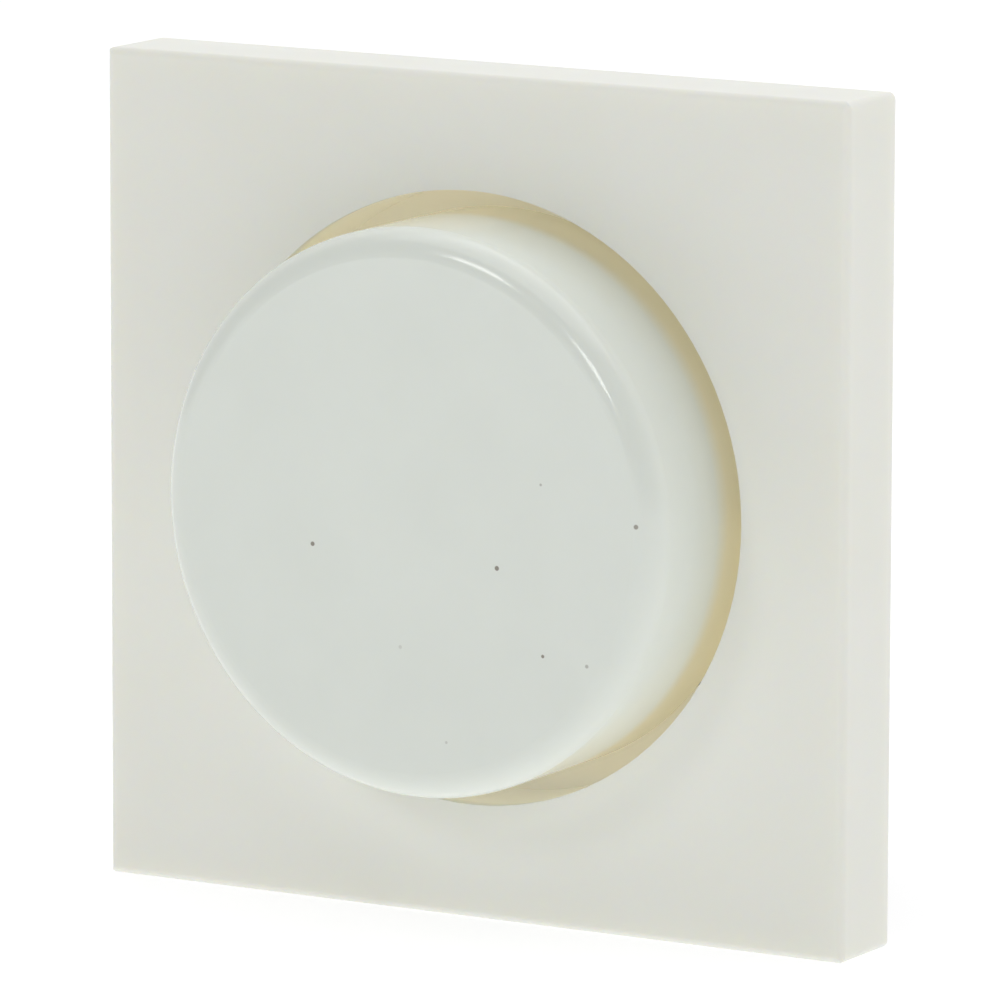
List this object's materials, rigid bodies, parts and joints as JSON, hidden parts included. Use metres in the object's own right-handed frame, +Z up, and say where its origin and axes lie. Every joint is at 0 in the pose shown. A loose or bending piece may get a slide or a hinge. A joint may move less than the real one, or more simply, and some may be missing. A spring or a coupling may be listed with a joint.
{
  "type": "rotary dimmer switch",
  "caption": "Square flush-mounted rotary dimmer: a moulded cover plate with a large round push-and-turn knob, and the insert behind it.",
  "frame": {"origin": "centre of the cover plate's rear rim, on the knob's axis, in the plane of the wall", "axes": "+Y into the wall along the knob axis, +Z up, +X to the right as seen from the room"},
  "size_m": [0.055, 0.0371, 0.055],
  "materials": {
    "cover_white": "satin moulded",
    "knob_white": "gloss moulded",
    "grey_plastic": "fine texture",
    "black_plastic": "moulded",
    "block_plastic": "moulded",
    "red_plastic": "moulded",
    "cream_plastic": "moulded",
    "blue_plastic": "moulded",
    "board": "solder resist",
    "phenolic": "carbon print",
    "film_yellow": "potted box",
    "film_red": "dipped",
    "resistor_tan": "lacquer",
    "zinc_steel": "zinc plated",
    "spring_steel": "drawn",
    "aluminium": "extruded",
    "brass": "turned",
    "copper": "copper",
    "ferrite": "sintered ferrite",
    "glass": "clear",
    "diac_glass": "painted glass"
  },
  "bodies": {
    "insert": {"cover_plate": "cover_white", "support_frame": "zinc_steel", "frame_screws": "zinc_steel", "housing_front": "grey_plastic", "housing_rear": "grey_plastic", "threaded_neck": "brass", "lock_washer": "zinc_steel", "retaining_nut": "brass", "pot_case": "black_plastic", "resistive_track": "phenolic", "pot_pins": "zinc_steel", "switch_case": "black_plastic", "plunger_spring": "spring_steel", "fixed_contacts": "brass", "circuit_board": "board", "triac": "black_plastic", "heat_sink": "aluminium", "heat_sink_screw": "zinc_steel", "choke_core": "ferrite", "choke_winding": "copper", "film_capacitor": "film_yellow", "trigger_capacitor": "film_red", "fuse_tube": "glass", "fuse_caps": "zinc_steel", "fuse_wire": "zinc_steel", "fuse_clips": "spring_steel", "diac": "diac_glass", "resistors": "resistor_tan", "trimmer_body": "blue_plastic", "terminal_block": "block_plastic", "terminal_clamps": "brass", "terminal_screws": "zinc_steel"},
    "switch_slider": {"plunger": "red_plastic", "contact_bridge": "copper"},
    "spindle": {"knob": "knob_white", "knob_clip": "spring_steel", "shaft": "brass", "shaft_circlip": "spring_steel"},
    "wiper": {"wiper_disc": "cream_plastic", "wiper_contact": "copper"},
    "trimmer": {"trimmer_rotor": "cream_plastic"}
  },
  "joints": [
    {"name": "knob_push", "type": "slide", "parent": "insert", "child": "switch_slider", "axis": [0, 1, 0], "range_m": [0, 0.001], "stiffness_N_per_m": 1500, "springref_m": -0.001, "deforming": ["plunger_spring"]},
    {"name": "knob_turn", "type": "hinge", "parent": "switch_slider", "child": "spindle", "pos_m": [0, 0, 0], "axis": [0, 1, 0], "range_deg": [0, 270]},
    {"name": "wiper_turn", "type": "hinge", "parent": "insert", "child": "wiper", "pos_m": [0, 0, 0], "axis": [0, 1, 0], "range_deg": [0, 270]},
    {"name": "trimmer_turn", "type": "hinge", "parent": "insert", "child": "trimmer", "pos_m": [0.0122, 0.004, -0.0104], "axis": [0, 1, 0], "range_deg": [-120, 120]}
  ],
  "couplings": [
    {"joint": "wiper_turn", "follows": "knob_turn", "ratio": 1}
  ]
}
